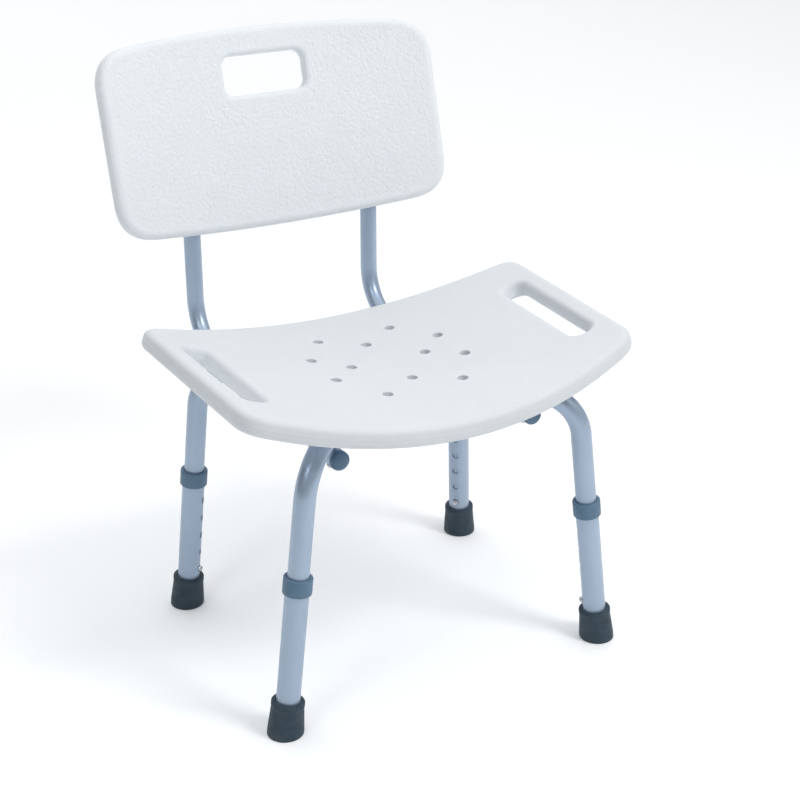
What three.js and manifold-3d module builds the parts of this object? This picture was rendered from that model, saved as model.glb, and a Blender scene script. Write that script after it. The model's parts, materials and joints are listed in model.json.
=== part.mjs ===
// Shower chair: a moulded seat and backrest on two crossed aluminium leg tubes and two back tubes,
// with four telescopic legs that lock with spring buttons.
// Millimetres, +Z up. The person sits facing -Y, and "left" is the -X side.
import * as THREE from "three";
import { mergeVertices } from "three/addons/utils/BufferGeometryUtils.js";
import Module from "manifold-3d";

const wasm = await Module();
wasm.setup();

// ---------------------------------------------------------------- driving dimensions

const GAP = 0.3; // between pieces that touch

// Seat: a hollow panel that sags between its raised sides.
const SEAT = {
  half: 258, // half width, half way between the front and rear corners
  low: -160.1, // front corners
  high: 126.4, // rear corners
  bowLow: 47.4, // how far the front edge bulges at the middle
  bowHigh: 30.7, // the same at the rear
  corner: 24.5,
  taper: 4.6, // how much each side widens towards the rear corners, and narrows towards the front ones
};
const SEAT_TOP = 410.4; // height of the top surface at the side edges
const SEAT_SAG = 45; // how much lower the middle is
const SEAT_THICK = 24.2;
const WALL = 3; // skin of both moulded panels

const GRIP_X = 218.2; // hand holes in the seat
const GRIP_Y = -22;
const GRIP_HALF = [14, 86.3];
const GRIP_CORNER = 12.5;
const GRIP_TURN = THREE.MathUtils.degToRad(1.6); // the holes follow the seat's tapering sides

const DRAIN_RADIUS = 6.3;
const DRAIN_Y = -12.3; // middle of the drain pattern
const DRAIN_INNER = { x: 0, rows: [-57.4, 57.4] };
const DRAIN_MIDDLE = { x: 50.2, rows: [-89.8, 0, 89.8] };
const DRAIN_OUTER = { x: 87.3, rows: [-32.8, 32.8] };

// Backrest: a hollow panel, concave to the front and leaning back.
const BACK = { half: 231.5, low: 0, high: 227.5, bowLow: 10, bowHigh: 17.5, corner: 46 };
const BACK_Y = 279; // middle of the panel at its lower corners' height
const BACK_Z = 464;
const BACK_LEAN = THREE.MathUtils.degToRad(16.5);
const BACK_CURVE = 32.5; // how far the sides come forward
const BACK_THICK = 22;
const BACK_GRIP = { half: 57.5, low: 159.5, high: 209.5, corner: 13 };

// Legs: where each axis meets the floor, and its lean inwards per millimetre of height.
const FRONT_LEG = { x: 216.7, y: -162.2, leanX: 0.12, leanY: 0.02 };
const REAR_LEG = { x: 206.6, y: 162.2, leanX: 0.07, leanY: -0.08 };
const LEG_TUBE = { outer: 14, inner: 12.9, bottom: 10.2, top: 195.5 };
const COLLAR = { outer: 17, bottom: 178.5, top: 199 };
const HOLE_PITCH = 25.4;
const HOLE_COUNT = 5;
const FIRST_HOLE = 55;
const HOLE_RADIUS = 4.1;
const FOOT = { top: 18.75, bottom: 21.4, height: 43.2, floor: 8, taper: [6, 35] };
const FOOT_RIM = { lip: 0.6, tall: 5, soft: 1.2 };
const WASHER = { radius: 13.2, thick: 1.6 };
const COLLAR_PLAY = 0.45; // between the collar and the upper tube it guides
const COLLAR_SOFT = 1.2;

// Frame tubes.
const CROSS_TUBE = { outer: 12.5, inner: 11, bend: 58, end: 44 };
const CROSS_MIDDLE_Z = 323; // upper cross tube's centre at the crossing
const CROSS_SLOPE = 0.0919; // rise of the runs towards the legs
const SPACER_THICK = 3;
const SPACER_RADIUS = 11;
const JOGGLE_BEND = 45; // the lower cross tube dips under the upper one
const JOGGLE = { start: 112, end: 34 };
const BACK_TUBE = { outer: 11, inner: 9.6, bend: 60, x: 127, front: -130, above: 150, offset: 7 };
const BACK_TUBE_CORNER = 15; // where the back tube starts to lean, above the panel's lower corners
const PLUG = { rim: 4, stem: 8 };
const FRONT_PLUG = { lip: 0.6, dome: 5 };
const TOP_PLUG = { lip: -0.4, dome: 2 };
const BUTTON = { pin: 3.7, proud: 3.9, dome: 2.4, flange: 5, flangeFrom: 8.2, flangeTo: 9.2 };
const SPRING = { thick: 0.8, width: 7 };
const SPRING_LINE = [[7.3, -6], [7.3, 7], [1.6, 40], [-0.6, 43], [-3.6, 41], [-9.2, -2]];
const FRAME_TUBE_SIDES = 12;
const LEG_SIDES = 16; // more than the upper tube's, so that its corners stay clear inside

// Fasteners.
const BOLT = { shank: 3, hole: 3.4, head: 6.5, headHeight: 4 };
const INSERT = { outer: 5.2, length: 13 };
const SCREW = { shank: 2.1, hole: 2.6, head: 5, headHeight: 2.6, bite: 4.4 };
const SCREW_ROWS = [50, 135];
const NUT = { radius: 6.4, height: 5, boltPast: 3 };

// ---------------------------------------------------------------- materials

function finish(color, roughness, metalness) {
  return new THREE.MeshStandardMaterial({ color, roughness, metalness });
}

const PLASTIC = finish(0xe6e9ee, 0.55, 0);
const ANODISED = finish(0xa8b6cc, 0.35, 0.9);
const GREY_PLASTIC = finish(0x5c7486, 0.5, 0);
const RUBBER = finish(0x2d4150, 0.85, 0);
const STEEL = finish(0xb9bcc0, 0.3, 1);

// ---------------------------------------------------------------- solids

// A closed geometry as a solid that can be cut and joined.
function solid(geometry) {
  const bare = geometry.clone();
  bare.deleteAttribute("normal");
  bare.deleteAttribute("uv");
  const merged = mergeVertices(bare, 1e-4);
  const mesh = new wasm.Mesh({
    numProp: 3,
    vertProperties: merged.attributes.position.array,
    triVerts: new Uint32Array(merged.index.array),
  });
  return new wasm.Manifold(mesh);
}

function geometryOf(cut) {
  const mesh = cut.getMesh();
  const geometry = new THREE.BufferGeometry();
  geometry.setAttribute("position", new THREE.BufferAttribute(mesh.vertProperties, 3));
  geometry.setIndex(new THREE.BufferAttribute(mesh.triVerts, 1));
  geometry.computeVertexNormals();
  return geometry;
}

const chair = new THREE.Group();

function add(name, shape, material, parent = chair) {
  const geometry = shape.isBufferGeometry ? shape : geometryOf(shape);
  const mesh = new THREE.Mesh(geometry, material);
  mesh.name = name;
  parent.add(mesh);
  return mesh;
}

// A solid of revolution about +Z; the profile is a list of [radius, height].
function turned(profile, sides) {
  const points = profile.map(([radius, height]) => new THREE.Vector2(radius, height));
  return new THREE.LatheGeometry(points, sides).rotateX(Math.PI / 2);
}

// A cylinder along +Z between two heights.
function rod(radius, from, to, sides = 10) {
  return turned([[0, from], [radius, from], [radius, to], [0, to]], sides);
}

// A flat shape, pushed along +Z between two heights.
function prism(shape, from, to) {
  const options = { depth: to - from, bevelEnabled: false, curveSegments: 4 };
  return new THREE.ExtrudeGeometry(shape, options).translate(0, 0, from);
}

// ---------------------------------------------------------------- tubes

// Centre line of a bent tube: straight runs joined by arcs. Each corner is {at, bend, steps}.
class BentLine extends THREE.Curve {
  constructor(corners) {
    super();
    this.stations = [];
    corners.forEach((corner, i) => {
      const before = corners[i - 1];
      const after = corners[i + 1];
      if (before && after) this.addArc(before.at, corner, after.at);
      else this.addEnd(corner.at, before ? before.at : corner.at, before ? corner.at : after.at);
    });
  }

  addEnd(point, from, to) {
    this.stations.push({ point, tangent: to.clone().sub(from).normalize() });
  }

  addArc(before, { at, bend, steps = 6 }, after) {
    const arriving = at.clone().sub(before).normalize();
    const leaving = after.clone().sub(at).normalize();
    const turn = arriving.angleTo(leaving);
    const axis = arriving.clone().cross(leaving).normalize();
    const start = at.clone().addScaledVector(arriving, -bend * Math.tan(turn / 2));
    const centre = start.clone().addScaledVector(axis.clone().cross(arriving), bend);
    for (let i = 0; i <= steps; i++) {
      const angle = (turn * i) / steps;
      const point = start.clone().sub(centre).applyAxisAngle(axis, angle).add(centre);
      this.stations.push({ point, tangent: arriving.clone().applyAxisAngle(axis, angle) });
    }
  }

  get steps() {
    return this.stations.length - 1;
  }

  getPointAt(u, target = new THREE.Vector3()) {
    return target.copy(this.stations[Math.round(u * this.steps)].point);
  }

  getTangentAt(u, target = new THREE.Vector3()) {
    return target.copy(this.stations[Math.round(u * this.steps)].tangent);
  }
}

function ring(radius, sides) {
  const points = [];
  for (let i = 0; i < sides; i++) {
    const angle = (2 * Math.PI * i) / sides;
    points.push(new THREE.Vector2(radius * Math.cos(angle), radius * Math.sin(angle)));
  }
  return points;
}

// A tube along a line: hollow when an inner radius is given.
function tube(line, outer, inner = 0) {
  const section = new THREE.Shape(ring(outer, FRAME_TUBE_SIDES));
  if (inner) section.holes.push(new THREE.Path(ring(inner, FRAME_TUBE_SIDES)));
  return solid(new THREE.ExtrudeGeometry(section, { steps: line.steps, extrudePath: line }));
}

// ---------------------------------------------------------------- moulded panels

// Outline of a panel: straight sides, bowed ends and rounded corners, drawn inset from its full size.
function panelOutline({ half, low, high, bowLow, bowHigh, corner, taper = 0 }, inset = 0) {
  const width = half - inset;
  const bottom = low + inset;
  const top = high - inset;
  const round = corner - inset;
  const bow = (x) => 1 - (x / width) ** 2;
  const edge = (up, x) => (up ? top + bowHigh * bow(x) : bottom - bowLow * bow(x));
  const points = [];
  const addCorner = (side, up) => {
    const sharp = new THREE.Vector2(side * width, up ? top : bottom);
    const onSide = sharp.clone().add(new THREE.Vector2(0, up ? -round : round));
    const onEdge = new THREE.Vector2(side * (width - round), edge(up, width - round));
    const ends = side > 0 === up ? [onSide, onEdge] : [onEdge, onSide];
    points.push(...new THREE.QuadraticBezierCurve(ends[0], sharp, ends[1]).getPoints(4));
  };
  const addEdge = (up) => {
    const count = 12;
    for (let i = 1; i < count; i++) {
      const x = (up ? 1 : -1) * (width - round) * (1 - (2 * i) / count);
      points.push(new THREE.Vector2(x, edge(up, x)));
    }
  };
  addCorner(-1, false);
  addEdge(false);
  addCorner(1, false);
  addCorner(1, true);
  addEdge(true);
  addCorner(-1, true);
  const middle = (low + high) / 2;
  for (const point of points) point.x *= 1 + ((taper / half) * (point.y - middle)) / (high - middle);
  return new THREE.Shape(points);
}

// Section of a curved slab: a parabola of the given rise at the sides, between two offsets from it.
function slabSection(half, rise, under, over) {
  const count = 12;
  const reach = half * 1.05;
  const points = [];
  for (let i = 0; i <= count; i++) {
    const x = -reach + (2 * reach * i) / count;
    points.push(new THREE.Vector2(x, rise * (x / half) ** 2 + under));
  }
  for (const point of points.slice().reverse()) {
    points.push(new THREE.Vector2(point.x, point.y - under + over));
  }
  return new THREE.Shape(points);
}

function roundedSlot(x, y, halfX, halfY, corner) {
  const slot = new THREE.Shape();
  slot.moveTo(x + halfX, y - halfY + corner);
  slot.absarc(x + halfX - corner, y + halfY - corner, corner, 0, Math.PI / 2);
  slot.absarc(x - halfX + corner, y + halfY - corner, corner, Math.PI / 2, Math.PI);
  slot.absarc(x - halfX + corner, y - halfY + corner, corner, Math.PI, 1.5 * Math.PI);
  slot.absarc(x + halfX - corner, y - halfY + corner, corner, 1.5 * Math.PI, 2 * Math.PI);
  return slot;
}

const PAST = 400; // reaches past a panel both ways

// A hollow moulded panel with its outline in XY: its middle surface is at z = 0 on the centre line
// and rises towards the sides. Each hole is a function that gives its cutting solid, grown by a wall.
function mouldedPanel(outline, rise, thick, holes, vent) {
  const slab = (inset) => {
    const section = slabSection(outline.half, rise, inset - thick / 2, thick / 2 - inset);
    const curved = prism(section, -PAST, PAST).rotateX(Math.PI / 2);
    return solid(curved).intersect(solid(prism(panelOutline(outline, inset), -PAST, PAST)));
  };
  let cavity = slab(WALL);
  for (const hole of holes) cavity = cavity.subtract(hole(WALL));
  let panel = slab(0).subtract(cavity).subtract(vent);
  for (const hole of holes) panel = panel.subtract(hole(0));
  return panel;
}

// ---------------------------------------------------------------- legs

const LEGS = [
  { name: "front_left", side: -1, spec: FRONT_LEG },
  { name: "front_right", side: 1, spec: FRONT_LEG },
  { name: "rear_left", side: -1, spec: REAR_LEG },
  { name: "rear_right", side: 1, spec: REAR_LEG },
];
for (const leg of LEGS) {
  const { x, y, leanX, leanY } = leg.spec;
  leg.floor = new THREE.Vector3(leg.side * x, y, 0);
  leg.lean = new THREE.Vector3(-leg.side * leanX, leanY, 1);
  leg.up = leg.lean.clone().normalize();
}
const legNamed = (name) => LEGS.find((leg) => leg.name === name);

// The point of a leg's axis at a height above the floor.
const legAt = (leg, height) => leg.floor.clone().addScaledVector(leg.lean, height);

// ---------------------------------------------------------------- cross tubes

const kneeHeight = (leg, middle) => {
  const level = legAt(leg, CROSS_MIDDLE_Z).sub(middle).setZ(0).length();
  return CROSS_MIDDLE_Z + CROSS_SLOPE * level;
};

const flat = (point) => new THREE.Vector2(point.x, point.y);

// Where the two diagonals cross, seen from above. The chair is symmetric, so it is at x = 0.
function crossing() {
  const a = flat(legAt(legNamed("front_left"), CROSS_MIDDLE_Z));
  const b = flat(legAt(legNamed("rear_right"), CROSS_MIDDLE_Z));
  return a.lerp(b, -a.x / (b.x - a.x));
}

const CROSSING = new THREE.Vector3(crossing().x, crossing().y, CROSS_MIDDLE_Z);
const LOWER_DROP = 2 * CROSS_TUBE.outer + SPACER_THICK + 2 * GAP;

// One leg's half of a cross tube, from its lower end to the bends near the crossing.
function crossHalf(leg, dips) {
  const knee = legAt(leg, kneeHeight(leg, CROSSING));
  const run = knee.clone().sub(CROSSING).normalize();
  const along = (distance) => CROSSING.clone().addScaledVector(run, distance);
  const half = [
    { at: leg.floor.clone().addScaledVector(leg.up, CROSS_TUBE.end) },
    { at: knee, bend: CROSS_TUBE.bend },
  ];
  if (dips) {
    const foot = along(JOGGLE.end).setZ(CROSSING.z - LOWER_DROP);
    half.push({ at: along(JOGGLE.start), bend: JOGGLE_BEND, steps: 3 });
    half.push({ at: foot, bend: JOGGLE_BEND, steps: 3 });
  }
  return half;
}

function crossLine(front, rear, dips) {
  const middle = dips ? [] : [{ at: CROSSING, bend: CROSS_TUBE.bend, steps: 2 }];
  return new BentLine([
    ...crossHalf(legNamed(front), dips),
    ...middle,
    ...crossHalf(legNamed(rear), dips).reverse(),
  ]);
}

// Where a cross tube passes over the back tube at x.
function crossPoint(front, rear, x) {
  const a = legAt(legNamed(front), CROSS_MIDDLE_Z);
  const b = legAt(legNamed(rear), CROSS_MIDDLE_Z);
  const point = a.lerp(b, (x - a.x) / (b.x - a.x));
  const distance = point.clone().sub(CROSSING).length();
  return point.setZ(CROSS_MIDDLE_Z + CROSS_SLOPE * distance);
}

// The four seat bolts stand where the tubes pass over each other.
const SEAT_BOLTS = [
  { name: "front_left", at: crossPoint("front_left", "rear_right", -BACK_TUBE.x) },
  { name: "front_right", at: crossPoint("front_right", "rear_left", BACK_TUBE.x) },
  { name: "rear_left", at: crossPoint("front_right", "rear_left", -BACK_TUBE.x) },
  { name: "rear_right", at: crossPoint("front_left", "rear_right", BACK_TUBE.x) },
];
const TUBE_SKEW = 1.006; // a sloping tube is this much thicker, measured straight down
const UNDER_CROSS = Math.min(...SEAT_BOLTS.map((bolt) => bolt.at.z)) - CROSS_TUBE.outer * TUBE_SKEW;
const BACK_TUBE_Z = UNDER_CROSS - GAP - BACK_TUBE.outer;

const boltHole = (x, y, from, to, radius = BOLT.hole) => solid(rod(radius, from, to).translate(x, y, 0));

// The hole in a leg's upper tube that its spring button comes through.
function buttonHole(leg) {
  const hole = rod(HOLE_RADIUS, 0, 2 * LEG_TUBE.outer).rotateY(Math.PI / 2);
  return solid(hole.translate(0, 0, FIRST_HOLE).applyMatrix4(legFrame(leg)));
}

// A leg's own frame: origin on the floor, +Z up the axis, +X towards the middle of the chair.
function legFrame(leg) {
  const inward = new THREE.Vector3(CROSSING.x - leg.floor.x, CROSSING.y - leg.floor.y, 0);
  const x = inward.addScaledVector(leg.up, -inward.dot(leg.up)).normalize();
  const y = leg.up.clone().cross(x);
  return new THREE.Matrix4().makeBasis(x, y, leg.up).setPosition(leg.floor);
}

function crossTube(name, front, rear, dips) {
  const line = crossLine(front, rear, dips);
  let cut = tube(line, CROSS_TUBE.outer, CROSS_TUBE.inner);
  for (const end of [front, rear]) cut = cut.subtract(buttonHole(legNamed(end)));
  for (const x of [-BACK_TUBE.x, 0, BACK_TUBE.x]) {
    const { y } = crossPoint(front, rear, x);
    cut = cut.subtract(boltHole(x, y, 0, PAST));
  }
  add(name, cut, ANODISED);
}

// ---------------------------------------------------------------- backrest frame

// The panel's own frame: +X right, +Y back, +Z up the panel.
const backFrame = new THREE.Matrix4().makeRotationX(-BACK_LEAN).setPosition(0, BACK_Y, BACK_Z);
const backPoint = (x, y, z) => new THREE.Vector3(x, y, z).applyMatrix4(backFrame);

// Depth of the panel's middle surface at x, in the panel's own frame.
const backDepth = (x) => -BACK_CURVE * (x / BACK.half) ** 2;

// The line of a back tube, or of its channel in the panel, which runs on past the tube's end.
function backTubeLine(side, extra = 0) {
  const x = side * BACK_TUBE.x;
  const depth = backDepth(x) + BACK_TUBE.offset;
  const lean = backPoint(x, depth, BACK_TUBE_CORNER);
  const top = backPoint(x, depth, BACK_TUBE_CORNER + BACK_TUBE.above + extra);
  return new BentLine([
    { at: new THREE.Vector3(x, BACK_TUBE.front, BACK_TUBE_Z) },
    { at: new THREE.Vector3(x, lean.y, BACK_TUBE_Z), bend: BACK_TUBE.bend },
    { at: lean, bend: BACK_TUBE.bend, steps: 3 },
    { at: top },
  ]);
}

// A hole or screw across the panel at x and height z, along the panel's own +Y.
const acrossPanel = (geometry, x, z) => geometry.rotateX(-Math.PI / 2).translate(x, 0, z);

function backTube(side, name) {
  const line = backTubeLine(side);
  let cut = tube(line, BACK_TUBE.outer, BACK_TUBE.inner);
  for (const bolt of SEAT_BOLTS.filter((b) => b.at.x * side > 0)) {
    cut = cut.subtract(boltHole(bolt.at.x, bolt.at.y, 0, PAST));
  }
  for (const row of SCREW_ROWS) {
    const hole = acrossPanel(rod(SCREW.hole, -PAST, PAST), side * BACK_TUBE.x, row);
    cut = cut.subtract(solid(hole.applyMatrix4(backFrame)));
  }
  add(`back_tube_${name}`, cut, ANODISED);
}

// A domed plastic plug: its stem is pushed into a tube's end, at a station of the tube's line.
function tubePlug(name, { point, tangent }, outwards, { lip, dome }) {
  const radius = BACK_TUBE.outer + lip;
  const bore = BACK_TUBE.inner - 2 * GAP;
  const { rim, stem } = PLUG;
  const profile = [[0, -stem], [bore, -stem], [bore, GAP], [radius, GAP], [radius, rim]];
  for (let i = 1; i < 4; i++) {
    const angle = (Math.PI / 2) * (i / 4);
    profile.push([radius * Math.cos(angle), rim + dome * Math.sin(angle)]);
  }
  profile.push([0, rim + dome]);
  const mesh = add(name, turned(profile, 12), GREY_PLASTIC);
  mesh.quaternion.setFromUnitVectors(new THREE.Vector3(0, 0, 1), tangent.clone().multiplyScalar(outwards));
  mesh.position.copy(point);
}

// ---------------------------------------------------------------- pieces of one leg

// A tapered tip whose sole is cut level with the floor.
function rubberFoot(frame) {
  const { top, bottom, height, floor, taper } = FOOT;
  const { lip, tall, soft } = FOOT_RIM;
  const bore = LEG_TUBE.outer + GAP;
  const profile = [
    [0, -floor], [bottom, -floor], [bottom, taper[0] / 2], [bottom - 0.9, taper[0]],
    [top + lip, taper[1]], [top + lip, height - tall], [top, height - tall / 2],
    [top - soft, height], [bore, height], [bore, floor], [0, floor],
  ];
  const below = new THREE.BoxGeometry(PAST, PAST, PAST).translate(0, 0, -PAST / 2);
  const turn = new THREE.Matrix4().extractRotation(frame).invert();
  return solid(turned(profile, LEG_SIDES)).subtract(solid(below.applyMatrix4(turn)));
}

function lowerTube() {
  const { outer, inner, bottom, top } = LEG_TUBE;
  const profile = [[inner, bottom], [outer, bottom], [outer, top], [inner, top], [inner, bottom]];
  let cut = solid(turned(profile, LEG_SIDES));
  for (let i = 0; i < HOLE_COUNT; i++) {
    const hole = rod(HOLE_RADIUS, 0, 2 * outer).rotateY(Math.PI / 2);
    cut = cut.subtract(solid(hole.translate(0, 0, FIRST_HOLE + i * HOLE_PITCH)));
  }
  return cut;
}

// The collar caps the lower tube and guides the upper one.
function collar() {
  const { outer, bottom, top } = COLLAR;
  const round = LEG_TUBE.outer + GAP;
  const guide = CROSS_TUBE.outer + COLLAR_PLAY;
  const lip = LEG_TUBE.top + GAP;
  return turned([
    [round, bottom], [outer - COLLAR_SOFT, bottom], [outer, bottom + COLLAR_SOFT],
    [outer, top - COLLAR_SOFT], [outer - COLLAR_SOFT, top], [guide, top], [guide, lip],
    [round, lip], [round, bottom],
  ], LEG_SIDES);
}

// A steel disc in the foot, under the tube's end.
function footWasher() {
  const from = FOOT.floor + GAP;
  return rod(WASHER.radius, from, from + WASHER.thick, LEG_SIDES);
}

// The spring button: a flange inside the upper tube and a domed pin through both tubes, along +X.
function springButton() {
  const { pin, proud, dome, flange, flangeFrom, flangeTo } = BUTTON;
  const tip = LEG_TUBE.outer + proud;
  return turned([
    [0, flangeFrom], [flange, flangeFrom], [flange, flangeTo], [pin, flangeTo],
    [pin, tip - dome], [pin * 0.7, tip - dome / 4], [0, tip],
  ], 10).rotateY(Math.PI / 2).translate(0, 0, FIRST_HOLE);
}

// The V spring behind the button: one leaf carries it and the other leans on the far wall.
function buttonSpring() {
  const { thick, width } = SPRING;
  const inner = SPRING_LINE.map(([x, z]) => new THREE.Vector2(x - thick / 2, z));
  const outer = SPRING_LINE.map(([x, z]) => new THREE.Vector2(x + thick / 2, z));
  inner[3].y -= thick;
  outer[3].y += thick / 2;
  for (const i of [4, 5]) [inner[i], outer[i]] = [outer[i], inner[i]]; // past the bend, the sides swap
  const strip = prism(new THREE.Shape([...inner, ...outer.reverse()]), -width / 2, width / 2);
  return strip.rotateX(Math.PI / 2).translate(0, 0, FIRST_HOLE);
}

function buildLeg(leg) {
  const frame = legFrame(leg);
  const group = new THREE.Group();
  group.applyMatrix4(frame);
  chair.add(group);
  add(`lower_leg_${leg.name}`, lowerTube(), ANODISED, group);
  add(`leg_collar_${leg.name}`, collar(), GREY_PLASTIC, group);
  add(`rubber_foot_${leg.name}`, rubberFoot(frame), RUBBER, group);
  add(`foot_washer_${leg.name}`, footWasher(), STEEL, group);
  add(`leg_button_${leg.name}`, springButton(), STEEL, group);
  add(`button_spring_${leg.name}`, buttonSpring(), STEEL, group);
}

// ---------------------------------------------------------------- seat

const seatUnderside = (x) => SEAT_TOP - SEAT_THICK - SEAT_SAG * (1 - (x / SEAT.half) ** 2);

function drainHoles() {
  const holes = [];
  for (const { x, rows } of [DRAIN_INNER, DRAIN_MIDDLE, DRAIN_OUTER]) {
    for (const side of x ? [-1, 1] : [1]) {
      for (const row of rows) holes.push([side * x, DRAIN_Y + row]);
    }
  }
  return holes;
}

function seatPanel() {
  const column = (x, y, radius, from = -PAST, to = PAST) => solid(rod(radius, from, to).translate(x, y, 0));
  const holes = drainHoles().map(([x, y]) => (wall) => column(x, y, DRAIN_RADIUS + wall));
  for (const side of [-1, 1]) {
    holes.push((wall) => {
      const [halfX, halfY] = GRIP_HALF;
      const slot = roundedSlot(0, 0, halfX + wall, halfY + wall, GRIP_CORNER + wall);
      const through = prism(slot, -PAST, PAST).rotateZ(-side * GRIP_TURN);
      return solid(through.translate(side * GRIP_X, GRIP_Y, 0));
    });
  }
  const middle = SEAT_TOP - SEAT_SAG - SEAT_THICK / 2;
  for (const bolt of SEAT_BOLTS) {
    const top = seatUnderside(bolt.at.x) - middle + INSERT.length + GAP;
    holes.push((wall) => column(bolt.at.x, bolt.at.y, INSERT.outer + GAP + wall, -PAST, top + wall));
  }
  const vent = column(0, SEAT.high - 20, 3, -PAST, 0);
  const panel = mouldedPanel(SEAT, SEAT_SAG, SEAT_THICK, holes, vent);
  add("seat_panel", panel, PLASTIC).position.z = middle;
}

function seatFasteners() {
  for (const { name, at } of SEAT_BOLTS) {
    const head = BACK_TUBE_Z - BACK_TUBE.outer - GAP;
    const tip = seatUnderside(at.x) + INSERT.length - 2;
    const { shank, headHeight } = BOLT;
    const bolt = turned([
      [0, head - headHeight], [BOLT.head - 1.5, head - headHeight], [BOLT.head, head - headHeight + 2],
      [BOLT.head, head], [shank, head], [shank, tip], [0, tip],
    ], 12);
    add(`seat_bolt_${name}`, bolt, STEEL).position.set(at.x, at.y, 0);
    const from = seatUnderside(at.x) + GAP;
    const to = from + INSERT.length - GAP;
    const insert = turned([
      [BOLT.hole, from], [INSERT.outer, from], [INSERT.outer, to], [BOLT.hole, to], [BOLT.hole, from],
    ], 12);
    add(`seat_insert_${name}`, insert, STEEL).position.set(at.x, at.y, 0);
  }
}

// The bolt that holds the two cross tubes together, with a spacer between them.
function centreFasteners() {
  const top = CROSSING.z + CROSS_TUBE.outer * TUBE_SKEW + CROSS_SLOPE * BOLT.head + GAP;
  const spacerTop = CROSSING.z - CROSS_TUBE.outer * TUBE_SKEW - GAP;
  const nutTop = CROSSING.z - LOWER_DROP - CROSS_TUBE.outer - GAP;
  const boltEnd = nutTop - NUT.height - NUT.boltPast;
  const { shank, hole, head, headHeight } = BOLT;
  const place = (name, profile, sides, material) => {
    add(name, turned(profile, sides), material).position.set(CROSSING.x, CROSSING.y, 0);
  };
  place("centre_bolt", [
    [0, boltEnd], [shank, boltEnd], [shank, top], [head, top],
    [head, top + headHeight / 2], [head - 2, top + headHeight - 0.4], [0, top + headHeight - 0.4],
  ], 12, STEEL);
  const spacerBottom = spacerTop - SPACER_THICK + GAP;
  place("centre_spacer", [
    [hole, spacerBottom], [SPACER_RADIUS, spacerBottom], [SPACER_RADIUS, spacerTop],
    [hole, spacerTop], [hole, spacerBottom],
  ], LEG_SIDES, GREY_PLASTIC);
  const bore = hole / Math.cos(Math.PI / 6); // six-sided, as the nut is
  const nutBottom = nutTop - NUT.height;
  place("centre_nut", [
    [bore, nutBottom], [NUT.radius, nutBottom], [NUT.radius, nutTop], [bore, nutTop], [bore, nutBottom],
  ], 6, STEEL);
}

// ---------------------------------------------------------------- backrest

// The panel is moulded lying on its back: its outline is in XY and its front faces up.
const lyingFrame = backFrame.clone().multiply(new THREE.Matrix4().makeRotationX(Math.PI / 2));

function backrestPanel() {
  const worldToLying = lyingFrame.clone().invert();
  const { half, low, high, corner } = BACK_GRIP;
  const holes = [
    (wall) => {
      const halfY = (high - low) / 2;
      const slot = roundedSlot(0, (low + high) / 2, half + wall, halfY + wall, corner + wall);
      return solid(prism(slot, -PAST, PAST));
    },
  ];
  for (const side of [-1, 1]) {
    const line = backTubeLine(side, PLUG.rim + TOP_PLUG.dome + 2 * GAP);
    holes.push((wall) => {
      const channel = tube(line, BACK_TUBE.outer + 2 * GAP + wall);
      return channel.transform(worldToLying.elements);
    });
    const x = side * BACK_TUBE.x;
    const front = -backDepth(x) - BACK_TUBE.offset + BACK_TUBE.outer;
    for (const row of SCREW_ROWS) {
      holes.push((wall) => {
        const reach = front + SCREW.bite + GAP + wall;
        return solid(rod(SCREW.hole + wall, front - BACK_THICK, reach).translate(x, row, 0));
      });
    }
  }
  const vent = solid(rod(3, -PAST, 0).translate(0, BACK_TUBE_CORNER, 0));
  const panel = mouldedPanel(BACK, BACK_CURVE, BACK_THICK, holes, vent);
  add("backrest_panel", panel, PLASTIC).applyMatrix4(lyingFrame);
}

function backrestScrews() {
  for (const [side, name] of [[-1, "left"], [1, "right"]]) {
    const x = side * BACK_TUBE.x;
    const rear = backDepth(x) + BACK_TUBE.offset + BACK_TUBE.outer + GAP;
    const tip = rear - 2 * BACK_TUBE.outer - GAP - SCREW.bite;
    const { shank, head, headHeight } = SCREW;
    SCREW_ROWS.forEach((row, i) => {
      const screw = turned([
        [0, tip], [shank, tip + 1], [shank, rear], [head, rear],
        [head, rear + 1], [head - 2, rear + headHeight], [0, rear + headHeight],
      ], 10);
      const mesh = add(`backrest_screw_${name}_${i ? "upper" : "lower"}`, acrossPanel(screw, x, row), STEEL);
      mesh.applyMatrix4(backFrame);
    });
  }
}

// ---------------------------------------------------------------- the chair

seatPanel();
seatFasteners();
centreFasteners();
crossTube("cross_tube_upper", "front_left", "rear_right", false);
crossTube("cross_tube_lower", "front_right", "rear_left", true);
for (const leg of LEGS) buildLeg(leg);
for (const [side, name] of [[-1, "left"], [1, "right"]]) {
  const { stations } = backTubeLine(side);
  backTube(side, name);
  tubePlug(`front_plug_${name}`, stations[0], -1, FRONT_PLUG);
  tubePlug(`top_plug_${name}`, stations[stations.length - 1], 1, TOP_PLUG);
}
backrestPanel();
backrestScrews();

// The origin is on the floor, under the middle of the chair's box.
const box = new THREE.Box3().setFromObject(chair, true);
chair.position.set(-(box.min.x + box.max.x) / 2, -(box.min.y + box.max.y) / 2, 0);

const part = new THREE.Group();
part.add(chair);

export default part;
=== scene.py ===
import json
import math

import bpy
import numpy as np
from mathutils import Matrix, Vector
from mathutils.geometry import delaunay_2d_cdt

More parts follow.
